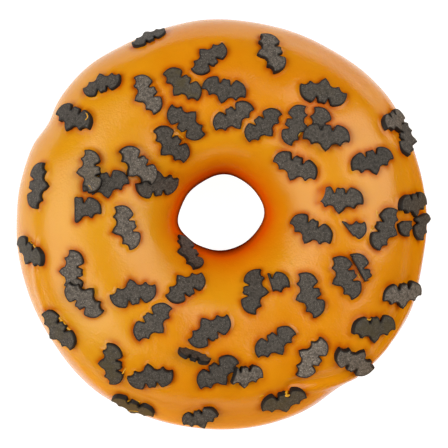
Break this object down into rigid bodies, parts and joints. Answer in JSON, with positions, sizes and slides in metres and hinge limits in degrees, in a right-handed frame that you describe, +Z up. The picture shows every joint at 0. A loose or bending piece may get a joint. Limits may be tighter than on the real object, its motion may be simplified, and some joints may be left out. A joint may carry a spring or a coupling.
{
  "type": "sprinkle frosted doughnut",
  "caption": "Ring doughnut of fried dough with a smooth orange icing coat over its top and sides, strewn with flat black bat-shaped sugar sprinkles.",
  "frame": {"origin": "on the surface that the doughnut rests on, under the middle of its outline", "axes": "+Z up through the hole, iced side up; +X to the right and +Y to the top of the picture, which looks straight down"},
  "size_m": [0.0905, 0.0898, 0.0323],
  "materials": {
    "dough": "fried golden brown crust with a paler band at the waist, dry to slightly oily",
    "icing": "set orange fondant icing, satin to glossy",
    "sprinkles": "pressed black sugar with a fine pale sparkle"
  },
  "bodies": {
    "root": {"dough": "dough", "icing": "icing"}
  },
  "joints": []
}
